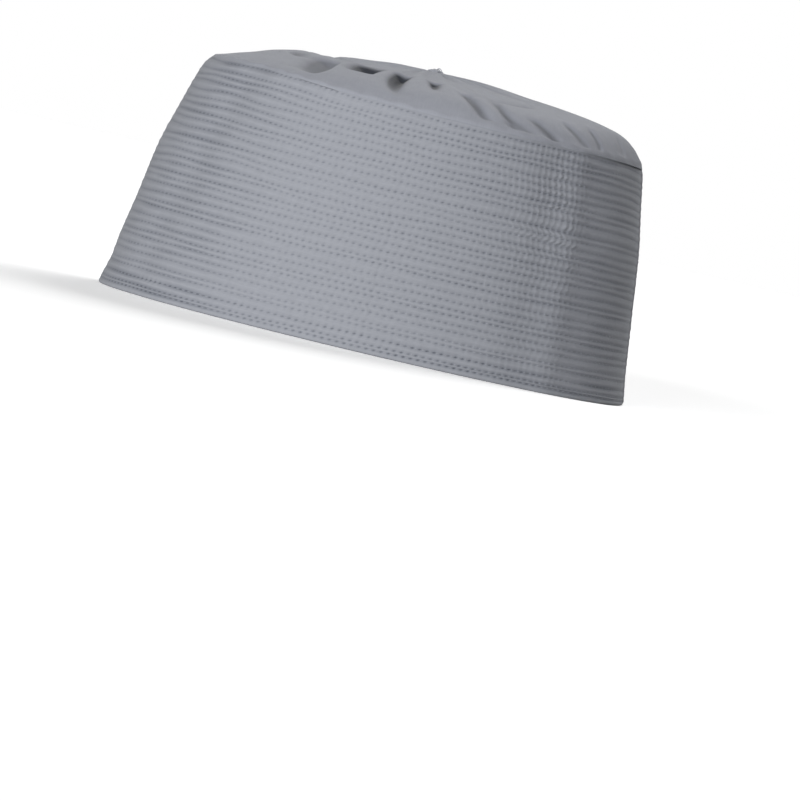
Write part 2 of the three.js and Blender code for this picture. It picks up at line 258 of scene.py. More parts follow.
# How deep the rows lie in the cloth and how far it puckers between them, and how strong the painted
# shade along the line of a row and in its needle holes is, by the turn from the front
ROW_RELIEF = [
    dict(turn=0, groove=0.06, pucker=0.03, line=0.34, hole=0.95),
    dict(turn=20, groove=0.09, pucker=0.06, line=0.44, hole=1.00),
    dict(turn=36, groove=0.13, pucker=0.08, line=0.58, hole=1.00),
    dict(turn=50, groove=0.10, pucker=0.05, line=0.38, hole=0.90),
    dict(turn=66, groove=0.05, pucker=0.02, line=0.13, hole=0.72),
    dict(turn=90, groove=0.05, pucker=0.02, line=0.12, hole=0.82),
    dict(turn=104, groove=0.06, pucker=0.05, line=0.20, hole=0.95),
    dict(turn=118, groove=0.08, pucker=0.36, line=0.33, hole=1.00),
    dict(turn=132, groove=0.10, pucker=0.70, line=0.44, hole=0.85),
    dict(turn=142, groove=0.09, pucker=0.05, line=0.50, hole=0.35),
    dict(turn=180, groove=0.06, pucker=0.00, line=0.50, hole=0.15),
]
# How strongly the painted shade of each row shows, a random share, and more on the hem rows
ROW_SHADE_STRENGTH = (0.7, 1.05)
HEM_SHADE_STRENGTH = 1.35
PUCKER_RISE = 45
PUCKER_START = 0.4
PUCKER_LOW = 0.35
PUCKER_STRENGTH = (0.5, 1.3)

# The edges of the band's cloth, as rings from the rim up to the first row, and over the last row
HEM_EDGE = [
    dict(height=0, out=-0.75),
    dict(height=0.12, out=-0.28),
    dict(height=0.5, out=0.02),
    dict(height=1.1, out=0.1),
]
TOP_EDGE = [
    dict(height=89.4, out=0),
    dict(height=89.46, out=-0.02),
    dict(height=89.48, out=-0.2),
    dict(height=89.75, out=-0.26),
    dict(height=89.85, out=-0.9),
]
HEM_SEAM_SHARE = 0.4
TOP_SEAM_SHARE = 0.5
# The inside of the wall: its rows, and the two rings that close it at the rim. The upper one of the
# two runs outwards by the drift on its way round.
INSIDE_GAP = 0.9
INSIDE_GROOVE = 0.35
# INSIDE_SHADE is the painted shade along the inside rows
INSIDE_SHADE = 0.25
INSIDE_HEM_HEIGHT = 0.5
INSIDE_HEM_DRIFT = 0.02
INSIDE_RIM = 0.6

# The threads: where along a stitch and how far out the points of one lie, its section and its unevenness
THREAD_PLACES = (0.19, 0.34, 0.66, 0.81)
THREAD_RISES = (-0.45, -0.1, -0.1, -0.45)
THREAD_RADIUS = 0.15
THREAD_TALLNESS = 1.25
THREAD_SHADE = 0.6
THREAD_SIDES = 4
THREAD_FIRST_CORNER = 45
THREAD_SLANT = 0.05
THREAD_RISE_NOISE = 0.02
THREAD_RADIUS_NOISE = 0.08

# The back seam of the band
SEAM_GROOVE = 0.9
SEAM_GROOVE_WIDTH = 0.7
SEAM_WELT = 0.7
SEAM_WELT_WIDTH = 1.9
SEAM_WELT_OFFSET = 2.3
SEAM_ROW_SHIFT = 0.3
SEAM_ROW_REACH = 6
SEAM_ROW_CALM = 0.6
SEAM_ROW_CALM_REACH = 60
SEAM_ROW_DROOP = 1.2
SEAM_ROW_DROOP_REACH = 34

# How finely the crown and the knot are cut
CROWN_COLUMNS = 880
CROWN_FINE_FROM = 0.52
CROWN_FINE_RINGS = 76
CROWN_COARSE_RINGS = 20
CROWN_INSIDE_COLUMNS = 220
CROWN_INSIDE_RINGS = 30
CROWN_INSIDE_RADIUS = 0.985
KNOT_COLUMNS = 64
KNOT_RINGS = 30

# The lobes of the knot, which wind round it, its small ribs, and how uneven its height is
KNOT_LOBES = dict(count=5, height=0.10, wind=2.2)
KNOT_RIBS = dict(count=11, height=0.04)
KNOT_HUMPS = dict(count=3, height=0.12)
# The thread ends of the knot: loops from its top outwards, by their angle, reach and rise
KNOT_LOOPS = [
    dict(angle=70, reach=2.9, rise=1.3),
    dict(angle=112, reach=2.2, rise=0.9),
    dict(angle=-60, reach=1.8, rise=0.7),
]
LOOP_RADIUS = 0.16
LOOP_STEPS = 16
LOOP_SIDES = 6
LOOP_DROP = 1

# Colours, linear
CLOTH_COLOUR = (0.310, 0.322, 0.357)
CROWN_COLOUR = (0.303, 0.315, 0.354)
THREAD_COLOUR = (0.311, 0.324, 0.360)
# The dark colours that painted shade mixes in: at the stitching, and in the folds
STITCH_SHADE_COLOUR = (0.092, 0.103, 0.127)
FOLD_SHADE_COLOUR = (0.030, 0.033, 0.042)
FLOOR_COLOUR = (0.92, 0.92, 0.92)
WHITE = (1, 1, 1, 1)

# The cloth's look: its weave, its sheen, and how uneven its yarn makes the colour
WEAVE_MM = 0.42
WEFT_TO_WARP = 0.93
BUMP_METRES = 0.0001
BAND_BUMP = 0.35
CROWN_BUMP = 0.4
SPOTS_IN_BUMP = 1.5
SPOTS = dict(Scale=0.35, Detail=3.0, Roughness=0.6)
YARN = dict(Scale=1.0, Detail=2.0, Roughness=0.5)
YARN_STRETCH = (0.25, 3.2, 1)
DARK_YARN = dict(place=0.3, share=0.93)
LIGHT_YARN = dict(place=0.7, share=1.06)
CLOTH_ROUGHNESS = 0.88
CLOTH_SPECULAR = 0.25
CLOTH_SHEEN = 0.12
CLOTH_SHEEN_ROUGHNESS = 0.5
THREAD_ROUGHNESS = 0.7
FLOOR_ROUGHNESS = 0.9

# The stage, in metres, and the lights
STAGE_RADIUS = 3.2
STAGE_WALL = 1.1
STAGE_SIDES = 128
FLOOR_GLOW = 0.4
WALL_GLOW = 1.0
SUNS = [
    dict(name="key", azimuth=-22, elevation=8, strength=1.11, softness=28),
    dict(name="back", azimuth=147, elevation=33, strength=0.76, softness=36),
]
WORLD_STRENGTH = 0.14

# The view: the scale at the middle of the cap, the tilt of the picture, and what its centre looks at
PHOTO_SIDE = 800
MM_PER_PIXEL = 0.3815
PICTURE_ROLL = 13.34
CAMERA_DISTANCE = 2100
CAMERA_HEIGHT = 92
LOOK_AT = (0, 19.5, -17.6)
SENSOR_WIDTH = 36

SEED = 31


def follow(table, key, column, value):
    """The value of one column of a table, on a smooth curve through its rows."""
    keys = np.array([row[key] for row in table], float)
    ends = np.array([row[column] for row in table], float)
    slopes = np.empty_like(ends)
    slopes[1:-1] = (ends[2:] - ends[:-2]) / (keys[2:] - keys[:-2])
    slopes[[0, -1]] = np.diff(ends)[[0, -1]] / np.diff(keys)[[0, -1]]
    value = np.clip(value, keys[0], keys[-1])
    row = np.clip(np.searchsorted(keys, value, side="right") - 1, 0, len(keys) - 2)
    span = keys[row + 1] - keys[row]
    t = (value - keys[row]) / span
    start = (2 * t**3 - 3 * t**2 + 1) * ends[row] + (t**3 - 2 * t**2 + t) * span * slopes[row]
    end = (3 * t**2 - 2 * t**3) * ends[row + 1] + (t**3 - t**2) * span * slopes[row + 1]
    return start + end


def bell(x):
    """A bell curve that is 1 where x is 0."""
    return np.exp(-np.square(x))


def ease(x):
    """0 below 0 and 1 above 1, with a smooth step between them."""
    x = np.clip(x, 0, 1)
    return x * x * (3 - 2 * x)


def turn_between(start, end):
    """The difference of two angles, from -180 to 180."""
    return (end - start + 180) % 360 - 180


def waves(along, rng, counts, height):
    """A smooth closed random line: along runs from 0 to 1 round the cap."""
    line = np.zeros_like(along)
    for count in counts:
        line += rng.normal() * np.cos(2 * np.pi * (count * along + rng.random()))
    return height * line / math.sqrt(len(counts) / 2)


def oval_at(height):
    """The middle, half length and half width of the band's oval at a height."""
    front = -RIM_LENGTH / 2 + follow(LEAN, "height", "front", height)
    back = RIM_LENGTH / 2 - follow(LEAN, "height", "back", height)
    side = RIM_WIDTH / 2 - follow(LEAN, "height", "side", height)
    return (front + back) / 2, (back - front) / 2, side


def turn_from_front(angle):
    """How far an angle is turned from the front, from 0 to 180."""
    return np.abs(turn_between(-90, angle))


def seam_arch(angle):
    """How far the seam lies over SEAM_HEIGHT."""
    return follow(SEAM_ARCH, "turn", "rise", turn_from_front(angle))


def level_at(angle, height):
    """The real height of a line of the band, which arches as the seam above it does."""
    return height + seam_arch(angle) * (np.maximum(height, 0) / SEAM_HEIGHT) ** SEAM_ARCH_FADE


def crease_relief(angle, height):
    """How far the band's upright creases stand out."""
    drop = 1 - height / SEAM_HEIGHT
    relief = 0
    for crease in BAND_CREASES:
        centre = crease["angle"] + crease["drift"] * drop
        share = 1 + (crease["share"] - 1) * drop
        relief = relief + crease["raised"] * share * bell(turn_between(centre, angle) / crease["width"])
    return relief


def band_points(angle, height, outwards):
    """Points of the band, moved out along the oval's own outward direction."""
    level = level_at(angle, height)
    middle, length, width = oval_at(level)
    across, along = np.cos(np.radians(angle)), np.sin(np.radians(angle))
    size = np.hypot(across / width, along / length)
    outwards = outwards + crease_relief(angle, height)
    x = width * across * (1 + BACK_FULLNESS * along) + outwards * across / width / size
    y = middle + length * along + outwards * along / length / size
    return np.stack([x, y, level + np.zeros_like(x)], axis=-1)


def arc_table():
    """Angles and the share of the way round the band at each, at half its height."""
    angle = np.linspace(0, 360, 3601)
    line = band_points(angle, np.full_like(angle, SEAM_HEIGHT / 2), 0)
    steps = np.linalg.norm(np.diff(line, axis=0), axis=1)
    along = np.concatenate([[0], np.cumsum(steps)])
    return angle, along / along[-1], along[-1]


ARC_ANGLES, ARC_SHARES, ARC_LENGTH = arc_table()
SEAM_SHARE = float(np.interp(SEAM_ANGLE, ARC_ANGLES, ARC_SHARES))


def angle_at(share):
    """The angle at a share of the way round the band."""
    return np.interp(share % 1, ARC_SHARES, ARC_ANGLES)


def from_seam(share):
    """The distance along the cloth from the back seam, negative before it."""
    return ((share - SEAM_SHARE + 0.5) % 1 - 0.5) * ARC_LENGTH


def seam_relief(share):
    """The back seam: a groove between two low welts."""
    away = from_seam(share)
    welt = SEAM_WELT * bell((np.abs(away) - SEAM_WELT_OFFSET) / SEAM_WELT_WIDTH)
    return welt - SEAM_GROOVE * bell(away / SEAM_GROOVE_WIDTH)


class Row:
    """One row of stitching: its height round the cap and the place of its stitches."""

    def __init__(self, height, rng):
        self.height = height
        self.phase = rng.uniform(-0.5, 0.5)
        self.shift = rng.normal() * SEAM_ROW_SHIFT
        self.seed = int(rng.integers(1 << 30))
        self.shade_strength = rng.uniform(*ROW_SHADE_STRENGTH) * (HEM_SHADE_STRENGTH if height in HEM_ROWS else 1)

    def line_shade(self, share):
        """The painted shade along the line between the stitches."""
        return self.shade_strength * follow(ROW_RELIEF, "turn", "line", turn_from_front(angle_at(share)))

    def line(self, share):
        """The height of the row at a share of the way round, which wanders and droops towards the seam."""
        rng = np.random.default_rng(self.seed)
        wander = waves(share, rng, WANDER_COUNTS, ROW_WANDER)
        away = from_seam(share)
        side = np.where(away < 0, -1, 1)
        near = np.exp(-np.abs(away) / SEAM_ROW_REACH)
        droop = SEAM_ROW_DROOP * np.exp(-np.abs(away) / SEAM_ROW_DROOP_REACH)
        free = (self.height / SEAM_HEIGHT) ** ROW_FREEDOM
        wander = wander * (1 - SEAM_ROW_CALM * bell(away / SEAM_ROW_CALM_REACH))
        return self.height + wander * free + self.shift * side * near - droop * free


def stitch_rows():
    """The rows of stitching, from the lowest to the highest, a little unevenly spaced."""
    rng = np.random.default_rng(SEED)
    heights = np.linspace(ROW_LOWEST, ROW_HIGHEST, ROW_COUNT)
    heights[:-1] += rng.uniform(-ROW_SPREAD, ROW_SPREAD, ROW_COUNT - 1)
    return [Row(height, rng) for height in (*HEM_ROWS, *heights)]


ROWS = stitch_rows()


def make_mesh(name, points, faces, uv=None, shade=None):
    """A smooth mesh object in metres from points in millimetres, with uv and a painted shade at each
    point.
    """
    mesh = bpy.data.meshes.new(name)
    mesh.from_pydata(np.asarray(points) * MM, [], faces)
    mesh.validate()
    mesh.polygons.foreach_set("use_smooth", np.ones(len(mesh.polygons), bool))
    if uv is not None:
        corners = np.empty(len(mesh.loops), np.int32)
        mesh.loops.foreach_get("vertex_index", corners)
        layer = mesh.uv_layers.new(name="cloth")
        layer.data.foreach_set("uv", np.asarray(uv, np.float32)[corners].ravel())
    if shade is not None:
        layer = mesh.attributes.new("shade", "FLOAT", "POINT")
        layer.data.foreach_set("value", np.asarray(shade, np.float32))
    mesh.update()
    piece = bpy.data.objects.new(name, mesh)
    bpy.context.scene.collection.objects.link(piece)
    return piece


class Shell:
    """Rings of points that are joined into a closed surface, ring by ring."""

    def __init__(self):
        self.points, self.uv, self.shade, self.faces, self.starts, self.counts = [], [], [], [], [], []
        self.total = 0

    def ring(self, points, uv, shade=None):
        """Adds a ring, or a tip that is one point."""
        self.starts.append(self.total)
        self.counts.append(len(points))
        self.points.append(points)
        self.uv.append(uv)
        self.shade.append(np.zeros(len(points)) if shade is None else shade)
        self.total += len(points)

    def join(self, low, high):
        """Faces between two rings, where one may have a whole number of times the other's points."""
        few, many = self.counts[low], self.counts[high]
        if few == many:
            a = np.arange(few)
            b = (a + 1) % few
            low, high = self.starts[low], self.starts[high]
            self.faces += np.stack([low + a, low + b, high + b, high + a], axis=1).tolist()
        elif few == 1 or many == 1:
            a = np.arange(max(few, many))
            b = (a + 1) % len(a)
            if few == 1:
                tip, ring = self.starts[low], self.starts[high]
                self.faces += [[tip, ring + q, ring + p] for p, q in zip(a, b)]
            else:
                tip, ring = self.starts[high], self.starts[low]
                self.faces += [[ring + p, ring + q, tip] for p, q in zip(a, b)]
        elif few > many:
            times = few // many
            for i in range(many):
                here, after = self.starts[high] + i, self.starts[high] + (i + 1) % many
                fine = [self.starts[low] + (i * times + k) % few for k in range(times + 1)]
                self.faces.append([*fine, after, here])
        else:
            times = many // few
            for i in range(few):
                here, after = self.starts[low] + i, self.starts[low] + (i + 1) % few
                fine = [self.starts[high] + (i * times + k) % many for k in range(times + 1)]
                self.faces.append([here, after, *fine[::-1]])

    def close(self, name, around=False):
        """Joins each ring to the next, and the last to the first if they run around."""
        for i in range(len(self.counts) - 1):
            self.join(i, i + 1)
        if around:
            self.join(len(self.counts) - 1, 0)
        points, uv = np.concatenate(self.points), np.concatenate(self.uv)
        return make_mesh(name, points, self.faces, uv, np.concatenate(self.shade))


def band_ring(shell, share, height, outwards, shade=None):
    """One ring of the band's cloth."""
    angle = angle_at(share)
    points = band_points(angle, height, outwards)
    unrolled = np.unwrap((share - share[0]) % 1, period=1) + share[0]
    shell.ring(points, np.stack([unrolled * ARC_LENGTH, height], axis=1), shade)


def make_band():
    """The band's wall: stitched rows outside, the folded lower edge, and plainer rows inside."""
    rng = np.random.default_rng(SEED + 1)
    columns = np.arange(STITCHES * STITCH_COLUMNS)
    at_hole = columns % STITCH_COLUMNS == 0
    shell = Shell()

    def share_for(phase):
        return (columns / STITCH_COLUMNS + phase) / STITCHES

    def edge_rings(edge, share, seam_share):
        for ring in edge:
            height = np.full(len(share), float(ring["height"]))
            band_ring(shell, share, height, ring["out"] + seam_share * seam_relief(share))

    edge_rings(HEM_EDGE, share_for(ROWS[0].phase), HEM_SEAM_SHARE)
    for i, row in enumerate(ROWS):
        share = share_for(row.phase)
        line = row.line(share)
        turn = turn_from_front(angle_at(share))
        # Painted shade of the row: in its needle holes, along its line, and as a halo on the rings beside
        # it
        strength = np.repeat(rng.uniform(*HOLE_STRENGTH, STITCHES), STITCH_COLUMNS)
        strength = strength * follow(ROW_RELIEF, "turn", "hole", turn)
        hole = row.shade_strength * strength
        dark = row.line_shade(share) * (1 + waves(share, rng, **LINE_WAVES))
        tension = 1 + waves(share, rng, **TENSION_WAVES)
        low = -follow(ROW_RELIEF, "turn", "groove", turn) * tension
        flank = seam_relief(share) + FLANK_SHARE * low + rng.normal(0, FLANK_NOISE, len(columns))
        halo = np.maximum(HOLE_HALO * hole * at_hole, LINE_HALO * dark)
        groove = seam_relief(share) + (low - np.where(at_hole, HOLE_DEPTH * strength, 0))
        band_ring(shell, share, line - GROOVE_FLANK, flank, halo)
        band_ring(shell, share, line, groove, np.where(at_hole, np.maximum(hole, dark), dark))
        band_ring(shell, share, line + GROOVE_FLANK, flank, halo)
        if i + 1 < len(ROWS):
            above = ROWS[i + 1]
            share = share_for((row.phase + above.phase) / 2)
            height = (row.line(share) + above.line(share)) / 2
            gap = above.line(share) - row.line(share)
            puff = PUFF_HEIGHT * gap * (1 + waves(share, rng, **PUFF_WAVES))
            pucker = follow(ROW_RELIEF, "turn", "pucker", turn)
            pucker = pucker * (PUCKER_LOW + (1 - PUCKER_LOW) * ease(height / PUCKER_RISE - PUCKER_START))
            pucker = pucker * (~at_hole) * rng.uniform(*PUCKER_STRENGTH, len(columns))
            pucker = pucker + rng.normal(0, PUFF_NOISE, len(columns))
            band_ring(shell, share, height, seam_relief(share) + puff + pucker)
    edge_rings(TOP_EDGE, share_for(ROWS[-1].phase), TOP_SEAM_SHARE)
    inside = np.arange(STITCHES)
    for row in reversed(ROWS):
        share = (inside + row.phase) / STITCHES
        line = row.line(share)
        band_ring(shell, share, line + INSIDE_GAP, -BAND_WALL)
        # Painted shade along each inside row
        band_ring(shell, share, line, -BAND_WALL + INSIDE_GROOVE, np.full(STITCHES, INSIDE_SHADE))
    share = (inside + ROWS[0].phase) / STITCHES
    band_ring(shell, share, np.full(STITCHES, INSIDE_HEM_HEIGHT), -BAND_WALL + INSIDE_HEM_DRIFT * share)
    band_ring(shell, share, np.zeros(STITCHES), -BAND_WALL + INSIDE_RIM)
    return shell.close("band_cloth", around=True)


def make_stitches():
    """The threads of the rows, a short bar from each needle hole to the next."""
    rng = np.random.default_rng(SEED + 2)
    places, rises = np.array(THREAD_PLACES), np.array(THREAD_RISES)
    corners = np.radians(THREAD_FIRST_CORNER + 360 / THREAD_SIDES * np.arange(THREAD_SIDES))
    blocks, shades = [], []
    for row in ROWS:
        start = np.arange(STITCHES)[:, None]
        share = (start + places + row.phase) / STITCHES
        slant = rng.normal(0, THREAD_SLANT, (STITCHES, 1)) * (places - 0.5)
        height = row.line(share) + slant
        out = rises + seam_relief(share) + rng.normal(0, THREAD_RISE_NOISE, (STITCHES, 1))
        angle = angle_at(share)
        radius = THREAD_RADIUS * (1 + rng.normal(0, THREAD_RADIUS_NOISE, (STITCHES, 1)))
        rings = []
        for corner in corners:
            outer = out + radius * np.cos(corner)
            upper = height + THREAD_TALLNESS * radius * np.sin(corner)
            rings.append(band_points(angle, upper, outer))
        blocks.append(np.stack(rings, axis=2).reshape(-1, 3))
        # Painted shade on each thread, a share of the painted shade along its row's line
        shades.append(np.repeat(THREAD_SHADE * row.line_shade(share).ravel(), THREAD_SIDES))
    points = np.concatenate(blocks)
    size = len(places) * THREAD_SIDES
    one = []
    for i in range(len(places) - 1):
        for j in range(THREAD_SIDES):
            after = (j + 1) % THREAD_SIDES
            low, high = i * THREAD_SIDES, (i + 1) * THREAD_SIDES
            one.append([low + j, high + j, high + after, low + after])
    one.append(list(range(THREAD_SIDES)))
    one.append(list(reversed(range(size - THREAD_SIDES, size))))
    faces = [[start + corner for corner in face] for start in range(0, len(points), size) for face in one]
    return make_mesh("band_stitches", points, faces, shade=np.concatenate(shades))


def dome_rise(angle, radius):
    """The height of the crown over SEAM_HEIGHT, before its folds, its dish and the seam's arch."""
    back = (1 + np.sin(np.radians(angle))) / 2
    front = follow(CROWN_PROFILE, "radius", "front", radius)
    rear = follow(CROWN_PROFILE, "radius", "back", radius)
    dip = FRONT_DIP_DEPTH * bell((radius - FRONT_DIP_RADIUS) / FRONT_DIP_WIDTH) * (1 - back) ** 4
    return front + (rear - front) * back - dip


def crown_rise(angle, radius):
    """The height of the crown over SEAM_HEIGHT with its dish and the seam's arch, before its folds."""
    dish = KNOT_DISH_DEPTH * bell(radius * RIM_LENGTH / 2 / KNOT_DISH_RADIUS)
    return dome_rise(angle, radius) - dish + seam_arch(angle) * radius**SEAM_ARCH_REACH


def gather_relief(angle, radius):
    """How far the fine gathers round the knot raise the crown."""
    wander, reach = 0, 1
    for wave in GATHER_WAVES:
        swing = np.sin(np.radians(wave["count"] * angle + wave["start"]))
        wander, reach = wander + wave["sway"] * swing, reach + wave["reach"] * swing
    fading = np.where(radius > GATHER_PEAK, GATHER_PEAK * reach, GATHER_PEAK)
    gather = np.cos(np.radians((angle + wander * radius - GATHER_TWIST * radius) * GATHER_COUNT))
    gather = gather * bell((radius - GATHER_PEAK) / fading)
    return GATHER_DEPTH * gather * ease(radius / GATHER_PEAK)


def fold_relief(angle, radius, inside=False):
    """How far the gathers, the furrows and the folds raise the crown, and the painted shade in the folds.

    Inside the cap the folds are wider and softer, so that the cloth keeps its thickness.
    """
    _, length, width = oval_at(SEAM_HEIGHT)
    mean = (length + width) / 2
    size = np.maximum(radius, SMALLEST_RADIUS) * mean
    rise = dome_rise(angle, radius)
    slope = (rise - dome_rise(angle, radius + SLOPE_STEP)) / (SLOPE_STEP * mean)
    relief = gather_relief(angle, radius)
    shade = np.zeros_like(relief)
    least = FOLD_INSIDE_WIDTH if inside else 0
    spread = FOLD_INSIDE_SPREAD if inside else 0
    for half in FOLD_HALVES:
        for fold in FOLDS:
            if fold["rise"] > FURROW_FROM_RISE:
                above = (rise - fold["rise"]) / (FURROW_TO_RISE - fold["rise"])
                above = np.clip(above, -FURROW_LEAD, 1)
                furrow = ease((above + FURROW_LEAD) / FURROW_OPENING) * ease((1 - above) / FURROW_CLOSING)
                centre = half["turn"] + fold["angle"] - FURROW_BEND * above
                aside = np.radians(turn_between(centre, angle)) * size / FURROW_WIDTH
                relief = relief - FURROW_DEPTH * furrow * bell(aside)
            fall = fold["rise"] - fold["to_rise"]
            turned = fold["to_angle"] - fold["angle"]
            along = np.clip((fold["rise"] - rise) / fall, 0, 1)
            centre = half["turn"] + fold["angle"] + turned * along + 4 * fold["bend"] * along * (1 - along)
            swirl = (turned + 4 * fold["bend"] * (1 - 2 * along)) / fall
            slant = np.radians(swirl) * slope * size
            away = np.radians(turn_between(centre, angle)) * size / np.hypot(1, slant)
            opened = ease((fold["rise"] - rise + spread) / fold["opening"])
            opened = opened * ease((radius - fold["inner"]) / FOLD_INNER_FADE)
            closed = ease((rise - fold["to_rise"] + spread) / fold["closing"])
            depth = half["depth"] * fold["depth"] * opened * closed
            across = np.where(away < 0, max(fold["left"], least), max(fold["right"], least))
            valley = bell(away / across)
            relief = relief - depth * valley
            # Painted shade in the fold: darker where it lies deeper, and most at its core along the line
            darkest = max(FOLD_DARKEST_DEPTH, FOLD_DARKEST_SHARE * fold["depth"])
            hidden = np.clip(depth * valley / darkest, 0, 1) ** FOLD_SHADE_POWER
            spot = bell((along - fold["core"]) / fold["reach"])
            shade = np.maximum(shade, hidden * spot * fold["shade"] * half["shade"])
    fade = ease((1 - radius) / FOLD_EDGE_FADE)
    return relief * fade, shade * fade


def crown_points(angle, radius, depth, seam_pucker=0):
    """Points of the crown, at a depth inside its outer face."""
    middle, length, width = oval_at(SEAM_HEIGHT + seam_arch(angle))
    overhang = crease_relief(angle, SEAM_HEIGHT) + lip_out(angle)
    near = radius**SEAM_ARCH_REACH
    length, width = length + overhang * near, width + overhang * near
    relief, _ = fold_relief(angle, radius, inside=depth > 0)
    inner = np.maximum(radius - SLOPE_STEP, 0)
    fall = crown_rise(angle, inner) - crown_rise(angle, radius)
    lean = np.where(radius > 0, np.arctan2(fall, SLOPE_STEP * (width + length) / 2), 0)
    turn = np.radians(angle)
    share = radius - depth * np.sin(lean) * 2 / (width + length)
    rise = crown_rise(angle, radius) + relief + seam_pucker - depth * np.cos(lean)
    x = share * width * np.cos(turn) * (1 + BACK_FULLNESS * np.sin(turn) * radius)
    y = CROWN_CENTRE_Y + (middle - CROWN_CENTRE_Y) * radius + share * length * np.sin(turn)
    lowest = seam_arch(angle) - CROWN_UNDER_SEAM
    return np.stack([x, y, SEAM_HEIGHT + np.maximum(rise, lowest)], axis=-1)


def near_back(angle):
    """1 over the middle of the back panels, falling to 0 at the sides."""
    near = bell(turn_between(BACK_OVERHANG_ANGLE, angle) / BACK_OVERHANG_WIDTH)
    far = bell(turn_between(180 - BACK_OVERHANG_ANGLE, angle) / BACK_OVERHANG_WIDTH)
    return np.maximum(near, far)


def lip_out(angle):
    """How far the crown's edge stands out over the band."""
    return CROWN_LIP_OUT + BACK_OVERHANG * near_back(angle)


def crown_radii():
    """The shares of the radius of the crown's outer rings, closest together where the folds are."""
    outer = np.linspace(1, CROWN_FINE_FROM, CROWN_FINE_RINGS)
    inner = np.linspace(CROWN_FINE_FROM, 0, CROWN_COARSE_RINGS)
    return np.concatenate([outer, inner[1:]])


def make_crown():
    """The crown's cloth: folded outside, a lip over the band's top, and the same folds softer inside."""
    rng = np.random.default_rng(SEED + 3)
    _, length, width = oval_at(SEAM_HEIGHT)
    shell = Shell()

    def flat(angle, radius):
        turn = np.radians(angle)
        return np.stack([radius * width * np.cos(turn), radius * length * np.sin(turn)], axis=1)

    angle = 360 * np.arange(CROWN_COLUMNS) / CROWN_COLUMNS
    share = angle / 360
    edge = waves(share, rng, **EDGE_WAVES)
    drift = waves(share, rng, **SLOPE_WAVES)
    for ring in LIP_RINGS:
        height = np.full_like(angle, SEAM_HEIGHT - CROWN_LIP_DROP + ring["over"])
        shell.ring(band_points(angle, height, lip_out(angle) - ring["inside"]), flat(angle, 1.0))
    for radius in crown_radii()[:-1]:
        pucker = edge * bell((1 - radius) / EDGE_WAVES_REACH) * ease((1 - radius) / EDGE_WAVES_FADE)
        pucker = pucker + drift * bell((radius - SLOPE_WAVES_RADIUS) / SLOPE_WAVES_REACH)
        ring = np.full_like(angle, radius)
        # Painted shade: in the folds, and along the crown's lower edge over the back panels
        edge_shade = BACK_SHADE * near_back(angle) * bell((1 - radius) / BACK_SHADE_REACH)
        shade = np.maximum(fold_relief(angle, ring)[1], edge_shade)
        shell.ring(crown_points(angle, ring, 0, pucker), flat(angle, radius), shade)
    tip = crown_points(np.zeros(1), np.zeros(1), 0)
    shell.ring(tip, np.zeros((1, 2)))
    outside = len(shell.counts)
    shell.ring(tip - [0, 0, CROWN_WALL], np.zeros((1, 2)))
    angle = angle[:: CROWN_COLUMNS // CROWN_INSIDE_COLUMNS]
    for radius in np.linspace(0, CROWN_INSIDE_RADIUS, CROWN_INSIDE_RINGS)[1:]:
        ring = np.full_like(angle, radius)
        shell.ring(crown_points(angle, ring, CROWN_WALL), flat(angle, radius))
    inner = np.full_like(angle, SEAM_HEIGHT)
    for outwards in (-CROWN_WALL, lip_out(angle) - CROWN_LIP_THICKNESS):
        shell.ring(band_points(angle, inner, outwards), flat(angle, 1.0))
    for i in range(len(shell.counts) - 1):
        if i != outside - 1:
            shell.join(i, i + 1)
    shell.join(len(shell.counts) - 1, 0)
    points, uv = np.concatenate(shell.points), np.concatenate(shell.uv)
    return make_mesh("crown_cloth", points, shell.faces, uv, np.concatenate(shell.shade))


def make_knot():
    """The knot: a small tuft of gathered cloth."""
    middle = (KNOT_LOW + KNOT_HIGH) / 2
    radius, height = (KNOT_HIGH[0] - KNOT_LOW[0]) / 2, KNOT_HIGH[2] - KNOT_LOW[2]
    shell = Shell()

    def tip(level):
        shell.ring(np.array([[middle[0], middle[1], level]]), np.zeros((1, 2)))

    tip(KNOT_LOW[2])
    angle = np.radians(360 * np.arange(KNOT_COLUMNS) / KNOT_COLUMNS)
    for tilt in np.linspace(0, np.pi, KNOT_RINGS)[1:-1]:
        wound = KNOT_LOBES["count"] * angle + KNOT_LOBES["wind"] * np.cos(tilt)
        lobes = 1 + KNOT_LOBES["height"] * np.sin(tilt) * np.cos(wound)
        lobes = lobes + KNOT_RIBS["height"] * np.cos(KNOT_RIBS["count"] * angle)
        humps = 1 + KNOT_HUMPS["height"] * np.cos(KNOT_HUMPS["count"] * angle) * np.sin(tilt)
        across = radius * np.sin(tilt) * lobes
        x, y = middle[0] + across * np.cos(angle), middle[1] + across * np.sin(angle)
        points = np.stack([x, y, middle[2] - height / 2 * np.cos(tilt) * humps], axis=1)
        shell.ring(points, points[:, :2])
    tip(KNOT_HIGH[2])
    return shell.close("knot_tuft")


